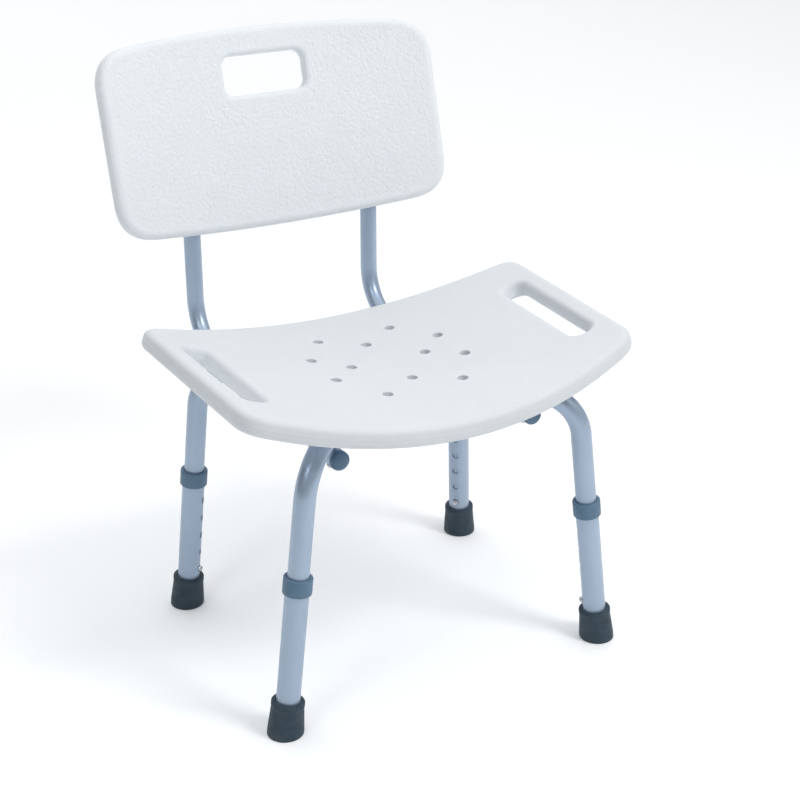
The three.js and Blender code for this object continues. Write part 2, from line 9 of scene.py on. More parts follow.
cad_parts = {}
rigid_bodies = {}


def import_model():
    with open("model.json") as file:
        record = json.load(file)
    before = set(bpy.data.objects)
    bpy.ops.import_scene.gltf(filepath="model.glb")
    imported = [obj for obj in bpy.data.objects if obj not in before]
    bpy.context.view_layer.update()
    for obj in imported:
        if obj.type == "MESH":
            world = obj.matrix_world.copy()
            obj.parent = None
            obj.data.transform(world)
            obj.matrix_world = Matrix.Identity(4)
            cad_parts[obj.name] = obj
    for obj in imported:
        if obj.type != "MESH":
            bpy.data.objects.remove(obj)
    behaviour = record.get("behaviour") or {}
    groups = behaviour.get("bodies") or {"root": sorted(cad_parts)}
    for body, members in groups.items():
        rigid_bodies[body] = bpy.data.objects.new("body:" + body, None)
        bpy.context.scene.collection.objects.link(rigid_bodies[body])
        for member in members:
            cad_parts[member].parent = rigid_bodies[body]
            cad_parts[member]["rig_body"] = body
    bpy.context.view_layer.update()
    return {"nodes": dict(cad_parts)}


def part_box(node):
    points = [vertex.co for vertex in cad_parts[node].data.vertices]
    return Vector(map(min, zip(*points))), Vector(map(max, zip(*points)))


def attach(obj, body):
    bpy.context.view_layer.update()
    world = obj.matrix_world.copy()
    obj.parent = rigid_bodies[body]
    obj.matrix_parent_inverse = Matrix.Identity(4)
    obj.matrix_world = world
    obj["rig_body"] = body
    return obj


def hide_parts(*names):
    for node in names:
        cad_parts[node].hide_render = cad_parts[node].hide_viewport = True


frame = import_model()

MM = 0.001
GAP = 0.3

# ---------------------------------------------------------------- the chair's dimensions

SEAT = {"half": 258, "low": -160.1, "high": 126.4, "bow_low": 47.4, "bow_high": 30.7, "corner": 24.5,
        "taper": 4.6}
SEAT_TOP = 410.4
SEAT_SAG = 45
SEAT_THICK = 24.2
GRIP = {"x": 218.2, "y": -22, "half": (14, 86.3), "corner": 12.5, "turn": math.radians(1.6)}
GRIP_EDGE = 8.0
SEAT_EDGE = 8.5
SEAT_GRAIN = 0.1
DRAIN_RADIUS = 6.3
DRAIN_EDGE = 1.3
DRAIN_Y = -12.3
DRAIN_ROWS = ((0, (-57.4, 57.4)), (50.2, (-89.8, 0, 89.8)), (87.3, (-32.8, 32.8)))
DRAINS = [(side * x, DRAIN_Y + row) for x, rows in DRAIN_ROWS
          for side in ((-1, 1) if x else (1,)) for row in rows]
BACK = {"half": 231.5, "low": 0, "high": 227.5, "bow_low": 10, "bow_high": 17.5, "corner": 46}
BACK_Y = 279
BACK_Z = 464
BACK_LEAN = math.radians(16.5)
BACK_CURVE = 32.5
BACK_THICK = 22
BACK_EDGE = 9.0
BACK_GRAIN = 0.85
BACK_GRIP = {"half": 57.5, "low": 159.5, "high": 209.5, "corner": 13, "edge": 6.5}
FRONT_LEG = (216.7, -162.2, 0.12, 0.02)
REAR_LEG = (206.6, 162.2, 0.07, -0.08)
LEG_TUBE = {"outer": 14, "inner": 12.9, "bottom": 10.2, "top": 195.5}
COLLAR = {"outer": 17, "bottom": 178.5, "top": 199}
HOLE_PITCH = 25.4
HOLE_COUNT = 5
FIRST_HOLE = 55
HOLE_RADIUS = 4.1
FOOT = {"top": 18.75, "bottom": 21.4, "height": 43.2, "floor": 8}
CROSS_TUBE = {"outer": 12.5, "inner": 11, "bend": 58, "end": 44}
CROSS_Z = 323
CROSS_SLOPE = 0.0919
SPACER_THICK = 3
JOGGLE_BEND = 45
JOGGLE = (112, 34)
BACK_TUBE = {"outer": 11, "inner": 9.6, "bend": 60, "x": 127, "front": -130, "above": 150, "offset": 7}
BACK_TUBE_CORNER = 15
BOLT = {"shank": 3, "hole": 3.4, "head": 6.5, "head_height": 4}
INSERT = {"outer": 5.2, "length": 13}
SCREW = {"shank": 2.1, "head": 5, "head_height": 2.6, "bite": 4.4}
SCREW_ROWS = (50, 135)
# The panels' meshes: the size of their front and rear triangles, and where the relief fades out.
BACK_PITCH = 1.35
SEAT_PITCH = 2.0
REAR_PITCH = 4.0
RELIEF_START, RELIEF_RAMP = 0.5, 6

# The part's frame puts its origin under the middle of its box: everything below is built around
# the chair's own middle, and moved by this much.
SHIFT = np.array([0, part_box("seat_panel")[0].y / MM - (SEAT["low"] - SEAT["bow_low"]), 0])

# ---------------------------------------------------------------- materials


def nodes_of(name, color, metallic=0.0, roughness=0.5, **sockets):
    made = bpy.data.materials.new(name)
    made.use_nodes = True
    shader = made.node_tree.nodes["Principled BSDF"]
    shader.inputs["Base Color"].default_value = (*color, 1)
    shader.inputs["Metallic"].default_value = metallic
    shader.inputs["Roughness"].default_value = roughness
    for socket, value in sockets.items():
        shader.inputs[socket.replace("_", " ")].default_value = value
    return made, made.node_tree, shader


def texture(tree, kind, scale, stretch=(1, 1, 1), warp=None, **settings):
    """A procedural texture on the piece's own coordinates, in metres."""
    place = tree.nodes.new("ShaderNodeTexCoord")
    mapping = tree.nodes.new("ShaderNodeMapping")
    mapping.inputs["Scale"].default_value = stretch
    tree.links.new(place.outputs["Object"], mapping.inputs["Vector"])
    made = tree.nodes.new(kind)
    made.inputs["Scale"].default_value = scale
    for name, value in settings.items():
        if hasattr(made, name):
            setattr(made, name, value)
        else:
            made.inputs[name.replace("_", " ").title()].default_value = value
    vector = mapping.outputs["Vector"]
    if warp:
        source, amount = warp
        push = tree.nodes.new("ShaderNodeVectorMath")
        push.operation = "MULTIPLY_ADD"
        push.inputs[1].default_value = (amount,) * 3
        tree.links.new(source.outputs["Color"], push.inputs[0])
        tree.links.new(vector, push.inputs[2])
        vector = push.outputs[0]
    tree.links.new(vector, made.inputs["Vector"])
    return made


def spread(tree, value, low, high, to_low, to_high):
    """value's range low..high mapped to to_low..to_high."""
    made = tree.nodes.new("ShaderNodeMapRange")
    for name, number in (("From Min", low), ("From Max", high), ("To Min", to_low), ("To Max", to_high)):
        made.inputs[name].default_value = number
    tree.links.new(value, made.inputs["Value"])
    return made.outputs["Result"]


def blended(tree, value, color_a, color_b):
    made = tree.nodes.new("ShaderNodeMix")
    made.data_type = "RGBA"
    made.inputs[6].default_value = (*color_a, 1)
    made.inputs[7].default_value = (*color_b, 1)
    tree.links.new(value, made.inputs["Factor"])
    return made.outputs[2]


def bumps(tree, shader, *layers):
    """Each layer is (height, distance in metres, strength)."""
    normal = None
    for height, distance, strength in layers:
        made = tree.nodes.new("ShaderNodeBump")
        made.inputs["Distance"].default_value = distance
        made.inputs["Strength"].default_value = strength
        tree.links.new(height, made.inputs["Height"])
        if normal:
            tree.links.new(normal, made.inputs["Normal"])
        normal = made.outputs["Normal"]
    tree.links.new(normal, shader.inputs["Normal"])


def moulded_plastic(name, light, shade, grain):
    made, tree, shader = nodes_of(name, light, roughness=0.48, Specular_IOR_Level=0.4)
    cloud = texture(tree, "ShaderNodeTexNoise", 9, detail=4, roughness=0.6)
    speck = texture(tree, "ShaderNodeTexNoise", 420, detail=3, roughness=0.7)
    fine = texture(tree, "ShaderNodeTexNoise", 1500, detail=2, roughness=0.6)
    mix = blended(tree, spread(tree, cloud.outputs["Fac"], 0.3, 0.7, 0, 1), light, shade)
    tree.links.new(mix, shader.inputs["Base Color"])
    tree.links.new(spread(tree, speck.outputs["Fac"], 0.3, 0.7, 0.4, 0.58), shader.inputs["Roughness"])
    crease = texture(tree, "ShaderNodeTexVoronoi", 190, feature="DISTANCE_TO_EDGE", warp=(speck, 0.004))
    ridge = spread(tree, crease.outputs["Distance"], 0.0, 0.16, 1, 0)
    bumps(tree, shader, (ridge, 0.0005, grain), (speck.outputs["Fac"], 0.0004, 0.35),
          (fine.outputs["Fac"], 0.0001, 0.5))
    return made


def anodised(name, light, shade):
    made, tree, shader = nodes_of(name, light, metallic=0.45, roughness=0.36)
    cloud = texture(tree, "ShaderNodeTexNoise", 14, detail=3)
    drawn = texture(tree, "ShaderNodeTexNoise", 60, stretch=(14, 14, 0.6), detail=4, roughness=0.6)
    mix = blended(tree, spread(tree, cloud.outputs["Fac"], 0.35, 0.65, 0, 1), light, shade)
    tree.links.new(mix, shader.inputs["Base Color"])
    tree.links.new(spread(tree, drawn.outputs["Fac"], 0.3, 0.7, 0.3, 0.42), shader.inputs["Roughness"])
    bumps(tree, shader, (drawn.outputs["Fac"], 0.00006, 0.35))
    return made


def plain(name, light, shade, scale, bump, **values):
    """Grey plastic, rubber or steel: two close shades, uneven gloss and a fine surface."""
    rough = values.pop("rough")
    made, tree, shader = nodes_of(name, light, roughness=sum(rough) / 2, **values)
    cloud = texture(tree, "ShaderNodeTexNoise", scale, detail=5, roughness=0.6)
    fine = texture(tree, "ShaderNodeTexNoise", scale * 14, detail=3, roughness=0.7)
    mix = blended(tree, spread(tree, cloud.outputs["Fac"], 0.3, 0.7, 0, 1), light, shade)
    tree.links.new(mix, shader.inputs["Base Color"])
    tree.links.new(spread(tree, cloud.outputs["Fac"], 0.3, 0.7, *rough), shader.inputs["Roughness"])
    bumps(tree, shader, (fine.outputs["Fac"], bump, 0.4))
    return made


SLOTS = {
    # seat_plastic and backrest_plastic are one white plastic in two shades: the seat's is painted darker and
    # the backrest's lighter, painted shade and painted light in place of how differently the lamps fall on
    # the seat's top and the backrest's face.
    "seat_plastic": moulded_plastic("seat_plastic", (0.684, 0.707, 0.73), (0.66, 0.684, 0.711), 0.15),
    "backrest_plastic": moulded_plastic("backrest_plastic", (0.832, 0.861, 0.887), (0.806, 0.833, 0.86), 0.6),
    "anodised_tube": anodised("anodised_tube", (0.38, 0.465, 0.583), (0.354, 0.438, 0.552)),
    "grey_plastic": plain("grey_plastic", (0.10, 0.185, 0.275), (0.085, 0.16, 0.24), 60, 0.0001,
                          rough=(0.42, 0.58)),
    "rubber": plain("rubber", (0.026, 0.052, 0.075), (0.02, 0.042, 0.062), 90, 0.00018,
                    rough=(0.55, 0.75)),
    "steel": plain("steel", (0.58, 0.59, 0.61), (0.5, 0.51, 0.53), 120, 0.00003,
                   metallic=1.0, rough=(0.22, 0.38)),
}

# ---------------------------------------------------------------- meshes


def build(node, verts, faces, slot, sharp=38):
    """A piece that stands for a CAD node and rides on its body."""
    mesh = bpy.data.meshes.new(f"{node}_visual")
    mesh.from_pydata(((np.asarray(verts, float) + SHIFT) * MM).tolist(), [], faces)
    mesh.materials.append(SLOTS[slot])
    mesh.shade_smooth()
    mesh.set_sharp_from_angle(angle=math.radians(sharp))
    piece = bpy.data.objects.new(mesh.name, mesh)
    bpy.context.scene.collection.objects.link(piece)
    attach(piece, frame["nodes"][node]["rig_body"])
    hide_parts(node)
    return piece


def joined(parts):
    """Several (verts, faces) as one."""
    verts, faces, start = [], [], 0
    for some, those in parts:
        verts.append(np.asarray(some, float))
        faces += [[i + start for i in face] for face in those]
        start += len(some)
    return np.concatenate(verts), faces


def carve(piece, *cutters, sharp=38):
    """Cuts (verts, faces) solids out of a piece."""
    for verts, faces in cutters:
        mesh = bpy.data.meshes.new("cutter")
        mesh.from_pydata(((np.asarray(verts, float) + SHIFT) * MM).tolist(), [], faces)
        tool = bpy.data.objects.new("cutter", mesh)
        bpy.context.scene.collection.objects.link(tool)
        cut = piece.modifiers.new("cut", "BOOLEAN")
        cut.operation = "DIFFERENCE"
        cut.solver = "MANIFOLD"
        cut.object = tool
        evaluated = piece.evaluated_get(bpy.context.evaluated_depsgraph_get())
        result = bpy.data.meshes.new_from_object(evaluated)
        piece.modifiers.clear()
        old = piece.data
        name = old.name
        piece.data = result
        bpy.data.meshes.remove(old)
        bpy.data.objects.remove(tool)
        bpy.data.meshes.remove(mesh)
        result.name = name
    piece.data.shade_smooth()
    piece.data.set_sharp_from_angle(angle=math.radians(sharp))


def unit(v):
    return np.asarray(v, float) / np.linalg.norm(v)


def rounded(points, radii, steps=5, closed=False):
    """A polyline with its corners replaced by arcs; radii has one number per point."""
    made = []
    count = len(points)
    for i, (point, radius) in enumerate(zip(points, radii)):
        point = np.asarray(point, float)
        if radius <= 0 or (not closed and i in (0, count - 1)):
            made.append(point)
            continue
        before, after = (np.asarray(points[(i + s) % count], float) for s in (-1, 1))
        a, b = unit(before - point), unit(after - point)
        half = math.acos(np.clip(a @ b, -1, 1)) / 2
        reach = radius / math.tan(half)
        start, end = point + a * reach, point + b * reach
        centre = point + unit(a + b) * radius / math.sin(half)
        for k in range(steps + 1):
            t = k / steps
            arm = unit((start - centre) * (1 - t) + (end - centre) * t)
            made.append(centre + arm * radius)
    return np.array(made)


def moved(verts, matrix):
    return np.asarray(verts, float) @ matrix[:3, :3].T + matrix[:3, 3]


def lathe(profile, matrix=None, sides=48, closed=False):
    """A solid of revolution about the matrix's +Z, from (radius, height) going up the outside."""
    verts, faces, rings = [], [], []
    for radius, height in profile:
        start = len(verts)
        if radius < 1e-6:
            verts.append((0, 0, height))
            rings.append([start] * sides)
        else:
            for k in range(sides):
                angle = 2 * math.pi * k / sides
                verts.append((radius * math.cos(angle), radius * math.sin(angle), height))
            rings.append(list(range(start, start + sides)))
    if closed:
        rings.append(rings[0])
    for low, high in zip(rings, rings[1:]):
        for k in range(sides):
            n = (k + 1) % sides
            corners = [low[k], low[n], high[n], high[k]]
            face = [c for i, c in enumerate(corners) if c != corners[i - 1]]
            if len(face) > 2:
                faces.append(face)
    verts = np.array(verts, float)
    return (verts if matrix is None else moved(verts, matrix)), faces


def sweep(stations, radii, sides=40):
    """A bar along stations of (point, tangent), or a tube where radii is (outer, inner)."""
    across = None
    rings = [[] for _ in radii]
    verts = []
    for point, tangent in stations:
        if across is None:
            across = unit(np.cross(tangent, (0.3, 1, 0.2)))
        across = unit(across - tangent * (across @ tangent))
        other = np.cross(tangent, across)
        for ring, radius in zip(rings, radii):
            ring.append(list(range(len(verts), len(verts) + sides)))
            for k in range(sides):
                angle = 2 * math.pi * k / sides
                verts.append(point + radius * (math.cos(angle) * across + math.sin(angle) * other))
    faces = []

    def band(low, high):
        for k in range(sides):
            n = (k + 1) % sides
            faces.append([low[k], low[n], high[n], high[k]])

    for low, high in zip(rings[0], rings[0][1:]):
        band(low, high)
    if len(radii) > 1:
        for low, high in zip(rings[1], rings[1][1:]):
            band(high, low)
        band(rings[1][0], rings[0][0])
        band(rings[0][-1], rings[1][-1])
    else:
        faces.append(rings[0][0][::-1])
        faces.append(rings[0][-1])
    return np.array(verts), faces


def bent(corners):
    """Stations of a line with rounded bends; each corner is (point, bend radius)."""
    stations = []
    points = [np.asarray(point, float) for point, _ in corners]
    for i, (_, bend) in enumerate(corners):
        at = points[i]
        if not bend:
            direction = unit(points[1] - at) if i == 0 else unit(at - points[i - 1])
            stations.append((at, direction))
            continue
        arriving, leaving = unit(at - points[i - 1]), unit(points[i + 1] - at)
        turn = math.acos(np.clip(arriving @ leaving, -1, 1))
        axis = unit(np.cross(arriving, leaving))
        start = at - arriving * bend * math.tan(turn / 2)
        centre = start + np.cross(axis, arriving) * bend
        steps = max(4, round(math.degrees(turn) / 4))
        for k in range(steps + 1):
            angle = turn * k / steps
            c, s = math.cos(angle), math.sin(angle)
            spin = lambda v: v * c + np.cross(axis, v) * s + axis * (axis @ v) * (1 - c)
            stations.append((centre + spin(start - centre), spin(arriving)))
    return stations


# ---------------------------------------------------------------- moulded panels


def panel_outline(spec, step=3.0):
    """Counterclockwise outline: straight sides that may taper, bowed ends and rounded corners."""
    half, low, high, corner = spec["half"], spec["low"], spec["high"], spec["corner"]

    def edge(up, x):
        bow = 1 - (x / half) ** 2
        return high + spec["bow_high"] * bow if up else low - spec["bow_low"] * bow

    points = []

    def add_corner(side, up):
        sharp = np.array([side * half, high if up else low], float)
        on_side = sharp + (0, -corner if up else corner)
        on_edge = np.array([side * (half - corner), edge(up, half - corner)])
        a, b = (on_edge, on_side) if (side > 0) != up else (on_side, on_edge)
        for k in range(13):
            t = k / 12
            points.append(a * (1 - t) ** 2 + 2 * sharp * t * (1 - t) + b * t * t)

    def add_edge(up):
        reach = half - corner
        count = round(2 * reach / step)
        for k in range(1, count):
            x = (reach if up else -reach) * (1 - 2 * k / count)
            points.append(np.array([x, edge(up, x)]))

    def add_side(side):
        count = round((high - low - 2 * corner) / step)
        for k in range(1, count):
            y = low + corner + (high - low - 2 * corner) * k / count
            points.append(np.array([side * half, y if side > 0 else high + low - y]))

    add_corner(-1, False)
    add_edge(False)
    add_corner(1, False)
    add_side(1)
    add_corner(1, True)
    add_edge(True)
    add_corner(-1, True)
    add_side(-1)
    points = np.array(points)
    middle = (low + high) / 2
    points[:, 0] *= 1 + spec.get("taper", 0) / half * (points[:, 1] - middle) / (high - middle)
    return points


def slot_outline(x, y, half_x, half_y, corner, step=2.0):
    sharp = [(x - half_x, y - half_y), (x + half_x, y - half_y), (x + half_x, y + half_y),
             (x - half_x, y + half_y)]
    rough = rounded(sharp, [corner] * 4, steps=12, closed=True)
    points = []
    for a, b in zip(rough, np.roll(rough, -1, axis=0)):
        count = max(1, round(np.linalg.norm(b - a) / step))
        points += [a + (b - a) * k / count for k in range(count)]
    return np.array(points)


def circle_outline(x, y, radius, count=28):
    angles = 2 * np.pi * np.arange(count) / count
    return np.stack([x + radius * np.cos(angles), y + radius * np.sin(angles)], axis=1)


def outward(points):
    """Unit normals that point out of a counterclockwise outline."""
    along = np.roll(points, -1, axis=0) - np.roll(points, 1, axis=0)
    normals = np.stack([along[:, 1], -along[:, 0]], axis=1)
    return normals / np.linalg.norm(normals, axis=1)[:, None]


def inside(points, outline):
    x, y = points[:, 0], points[:, 1]
    odd = np.zeros(len(points), bool)
    for (ax, ay), (bx, by) in zip(outline, np.roll(outline, -1, axis=0)):
        if ay != by:
            odd ^= ((ay > y) != (by > y)) & (x < (bx - ax) * (y - ay) / (by - ay) + ax)
    return odd


def nearest(points, others):
    """Distance from each point to the nearest of the others."""
    found = np.empty(len(points))
    for i in range(0, len(points), 4000):
        some = points[i:i + 4000]
        found[i:i + 4000] = np.sqrt(((some[:, None] - others[None]) ** 2).sum(2).min(1))
    return found


def face_fill(borders, pitch):
    """Triangles inside the first border and outside the others: (points, triangles, border indices)."""
    # The triangulation rounds its points to single precision, so the tests below do too: slivers
    # along a straight side would otherwise be kept or dropped at random.
    borders = [border.astype(np.float32).astype(float) for border in borders]
    low, high = borders[0].min(0), borders[0].max(0)
    rows = np.arange(low[1], high[1], pitch * 0.866)
    grid = np.array([(x + (pitch / 2 if i % 2 else 0), y) for i, y in enumerate(rows)
                     for x in np.arange(low[0], high[0], pitch)])
    keep = inside(grid, borders[0])
    for hole in borders[1:]:
        keep &= ~inside(grid, hole)
    grid = grid[keep]
    rim = np.concatenate(borders)
    grid = grid[nearest(grid, rim) > 0.7 * pitch]
    points = np.concatenate([rim, grid.astype(np.float32)]).astype(float)
    edges, loops, start = [], [], 0
    for border in borders:
        count = len(border)
        loops.append(list(range(start, start + count)))
        edges += [(start + k, start + (k + 1) % count) for k in range(count)]
        start += count
    _, _, faces, origin, _, _ = delaunay_2d_cdt([Vector(p) for p in points], edges, [], 0, 1e-6)
    source = [o[0] for o in origin]
    tris = np.array([[source[i] for i in face] for face in faces])
    middle = points[tris].mean(1)
    keep = inside(middle, borders[0])
    for hole in borders[1:]:
        keep &= ~inside(middle, hole)
    tris = tris[keep]
    a, b, c = (points[tris[:, k]] for k in range(3))
    turned = (b[:, 0] - a[:, 0]) * (c[:, 1] - a[:, 1]) - (b[:, 1] - a[:, 1]) * (c[:, 0] - a[:, 0]) < 0
    tris[turned] = tris[turned][:, ::-1]
    return points, tris, loops


def moulded(outline, holes, place, thick, pitches, relief=None):
    """A panel with rounded edges. outline is (points, radius) and each hole too; place(points, height)
    puts a point that is that far above the middle surface; relief(points, distance) adds to the front."""
    verts, faces = [], []
    count = 0
    rims = {}
    arc = 7
    for side, pitch in zip((1, -1), pitches):
        lasts = []
        for number, (points, radius) in enumerate([outline, *holes]):
            normals = outward(points) * (-1 if number == 0 else 1)
            previous = None
            for k in range(arc + 1):
                angle = math.pi / 2 * k / arc
                flat = points + normals * radius * (1 - math.cos(angle))
                height = thick / 2 - radius + radius * math.sin(angle)
                if k == arc:
                    lasts.append((flat, previous))
                    break
                ring = list(range(count, count + len(points)))
                verts.append(place(flat, np.full(len(points), side * height)))
                count += len(points)
                if previous is None:
                    rims[side, number] = ring
                else:
                    faces += band(previous, ring, (side > 0) != (number > 0))
                previous = ring
        flat, tris, loops = face_fill([points for points, _ in lasts], pitch)
        height = np.full(len(flat), side * thick / 2)
        if relief and side > 0:
            height += relief(flat, nearest(flat, np.concatenate([points for points, _ in lasts])))
        verts.append(place(flat, height))
        tris = tris + count
        faces += (tris if side > 0 else tris[:, ::-1]).tolist()
        for number, ((_, previous), loop) in enumerate(zip(lasts, loops)):
            faces += band(previous, [i + count for i in loop], (side > 0) != (number > 0))
        count += len(flat)
    # The walls, with the fine ridge that a mould's halves leave around the edge.
    for number, (points, radius) in enumerate([outline, *holes]):
        normals = outward(points) * (-1 if number == 0 else 1)
        previous = rims[-1, number]
        for height, proud in ((-0.7, 0), (0, 0.25), (0.7, 0)):
            ring = list(range(count, count + len(points)))
            verts.append(place(points - normals * proud, np.full(len(points), height)))
            count += len(points)
            faces += band(previous, ring, number == 0)
            previous = ring
        faces += band(previous, rims[1, number], number == 0)
    return np.concatenate(verts), faces


def band(low, high, forwards):
    """Quads between two matching rings."""
    count = len(low)
    made = []
    for k in range(count):
        n = (k + 1) % count
        face = [low[k], low[n], high[n], high[k]]
        made.append(face if forwards else face[::-1])
    return made


def creases(points, cell, seed):
    """Distance to the border between the cells of a random pattern, in cells."""
    size = 97
    sites = np.random.default_rng(seed).random((size, size, 2))
    scaled = points / cell
    base = np.floor(scaled).astype(int)
    found = []
    for dx in (-1, 0, 1):
        for dy in (-1, 0, 1):
            square = base + (dx, dy)
            site = square + sites[square[:, 0] % size, square[:, 1] % size]
            found.append(np.linalg.norm(site - scaled, axis=1))
    found = np.sort(np.array(found), axis=0)
    return found[1] - found[0]


def grain(points, amount):
    """Leather-like relief: wandering creases of two sizes."""
    x, y = points[:, 0], points[:, 1]
    wander = np.stack([2.2 * np.sin(y / 5.1 + 1.3 * np.sin(x / 9.7)) + 1.1 * np.sin((x + y) / 3.3),
                       2.2 * np.sin(x / 5.7 + 1.7 * np.sin(y / 8.3)) + 1.1 * np.sin((x - y) / 2.9)], axis=1)
    wide = np.clip(creases(points + wander, 8.5, 4) / 0.32, 0, 1)
    fine = np.clip(creases(points - wander, 4.6, 9) / 0.4, 0, 1)
    return -amount * (0.62 * (1 - wide) ** 2 + 0.38 * (1 - fine) ** 2)


# ---------------------------------------------------------------- legs

LEGS = {}
for leg_name, leg_side, leg_spec in (("front_left", -1, FRONT_LEG), ("front_right", 1, FRONT_LEG),
                                     ("rear_left", -1, REAR_LEG), ("rear_right", 1, REAR_LEG)):
    leg_x, leg_y, lean_x, lean_y = leg_spec
    LEGS[leg_name] = (np.array([leg_side * leg_x, leg_y, 0.0]), np.array([-leg_side * lean_x, lean_y, 1.0]))


def leg_at(name, height):
    floor, lean = LEGS[name]
    return floor + lean * height


def cross_point(front, rear, x):
    a, b = leg_at(front, CROSS_Z), leg_at(rear, CROSS_Z)
    return a + (b - a) * (x - a[0]) / (b[0] - a[0])


CROSSING = cross_point("front_left", "rear_right", 0)


def over_back_tube(front, rear, x):
    point = cross_point(front, rear, x)
    point[2] = CROSS_Z + CROSS_SLOPE * np.linalg.norm(point - CROSSING)
    return point


SEAT_BOLTS = {
    "front_left": over_back_tube("front_left", "rear_right", -BACK_TUBE["x"]),
    "front_right": over_back_tube("front_right", "rear_left", BACK_TUBE["x"]),
    "rear_left": over_back_tube("front_right", "rear_left", -BACK_TUBE["x"]),
    "rear_right": over_back_tube("front_left", "rear_right", BACK_TUBE["x"]),
}
TUBE_SKEW = 1.006
UNDER_CROSS = min(at[2] for at in SEAT_BOLTS.values()) - CROSS_TUBE["outer"] * TUBE_SKEW
BACK_TUBE_Z = UNDER_CROSS - GAP - BACK_TUBE["outer"]
LOWER_DROP = 2 * CROSS_TUBE["outer"] + SPACER_THICK + 2 * GAP


def leg_frame(name):
    """Origin on the floor, +Z up the leg's axis, +X towards the middle of the chair."""
    floor, lean = LEGS[name]
    up = unit(lean)
    inward = CROSSING - floor
    inward[2] = 0
    x = unit(inward - up * (inward @ up))
    matrix = np.eye(4)
    matrix[:3, 0], matrix[:3, 1], matrix[:3, 2], matrix[:3, 3] = x, np.cross(up, x), up, floor
    return matrix


def across(matrix, height):
    """A frame whose +Z is the leg frame's +X, at a height up the leg."""
    turn = np.array([[0, 0, 1, 0], [0, 1, 0, 0], [-1, 0, 0, height], [0, 0, 0, 1]], float)
    return matrix @ turn


def drill(matrix, radius, start, end, sides=28):
    return lathe([(0, start), (radius, start), (radius, end), (0, end)], matrix, sides)


def upright(point):
    """A frame on the floor under a point, with +Z up."""
    matrix = np.eye(4)
    matrix[:2, 3] = point[0], point[1]
    return matrix


def cross_line(front, rear, dips):
    def half(name):
        level = leg_at(name, CROSS_Z) - CROSSING
        level[2] = 0
        knee = leg_at(name, CROSS_Z + CROSS_SLOPE * np.linalg.norm(level))
        run = unit(knee - CROSSING)
        floor, lean = LEGS[name]
        made = [(floor + unit(lean) * CROSS_TUBE["end"], 0), (knee, CROSS_TUBE["bend"])]
        if dips:
            start, end = JOGGLE
            foot = CROSSING + run * end
            foot[2] = CROSS_Z - LOWER_DROP
            made += [(CROSSING + run * start, JOGGLE_BEND), (foot, JOGGLE_BEND)]
        return made

    middle = [] if dips else [(CROSSING, CROSS_TUBE["bend"])]
    return bent(half(front) + middle + half(rear)[::-1])


def cross_tube(node, front, rear, dips):
    piece = build(node, *sweep(cross_line(front, rear, dips), (CROSS_TUBE["outer"], CROSS_TUBE["inner"])),
                  "anodised_tube")
    cutters = [drill(across(leg_frame(name), FIRST_HOLE), HOLE_RADIUS, 0, 30) for name in (front, rear)]
    for x in (-BACK_TUBE["x"], 0, BACK_TUBE["x"]):
        cutters.append(drill(upright(cross_point(front, rear, x)), BOLT["hole"], 200, 420))
    carve(piece, joined(cutters))


def button(name):
    pin, tip = 3.7, LEG_TUBE["outer"] + 3.9
    profile = rounded([(0, 8.2), (5, 8.2), (5, 9.2), (pin, 9.2), (pin, tip), (0, tip)],
                      [0, 0.2, 0.2, 0, 2.6, 0], steps=8)
    build(f"leg_button_{name}", *lathe(profile, across(leg_frame(name), FIRST_HOLE), 32), "steel")


def button_spring(name):
    """A bent strip: one leaf carries the button, the other leans on the tube's far wall."""
    line = rounded([(7.3, -6), (7.3, 7), (1.9, 40.5), (-3.4, 40.5), (-9.2, -2)], [0, 12, 2.6, 2.6, 0],
                   steps=8)
    along = np.gradient(line, axis=0)
    normals = np.stack([-along[:, 1], along[:, 0]], axis=1)
    normals /= np.linalg.norm(normals, axis=1)[:, None]
    verts = []
    for point, normal in zip(line, normals):
        for side, edge in ((-0.4, -3.5), (0.4, -3.5), (0.4, 3.5), (-0.4, 3.5)):
            x, z = point + normal * side
            verts.append((x, edge, z + FIRST_HOLE))
    faces = []
    for i in range(len(line) - 1):
        for k in range(4):
            n = (k + 1) % 4
            faces.append([4 * i + k, 4 * i + n, 4 * i + 4 + n, 4 * i + 4 + k])
    last = 4 * (len(line) - 1)
    faces += [[3, 2, 1, 0], [last, last + 1, last + 2, last + 3]]
    build(f"button_spring_{name}", moved(verts, leg_frame(name)), faces, "steel")


def rubber_foot(name):
    """A tapered tip, cut level with the floor, with rings in its sole."""
    matrix = leg_frame(name)
    top, bottom, height, floor = (FOOT[k] for k in ("top", "bottom", "height", "floor"))
    bore = LEG_TUBE["outer"] + GAP
    upper = rounded([(bottom, 2), (bottom, 6.5), (top + 0.5, height - 9), (top + 0.9, height - 6),
                     (top + 0.9, height - 1), (bore, height), (bore, floor), (0, floor)],
                    [0, 5, 2, 1.5, 1.6, 0.8, 0, 0], steps=5)
    sides = 64
    # The sole's rings: radius, and how far each stands above the floor.
    sole = [(0, 1.6), (4, 1.6), (4.6, 0.2), (8.6, 0.2), (9.2, 1.6), (12.4, 1.6), (13, 0), (bottom - 1.2, 0),
            (bottom - 0.35, 0.35), (bottom, 1.1)]
    verts, faces = lathe([*sole, *upper[1:]], None, sides)
    up = matrix[2, 2]
    rings = 1 + (len(sole) - 1) * sides
    for i in range(rings):
        x, y, lift = verts[i]
        verts[i, 2] = (lift - matrix[2, 0] * x - matrix[2, 1] * y) / up
    build(f"rubber_foot_{name}", moved(verts, matrix), faces, "rubber", sharp=30)


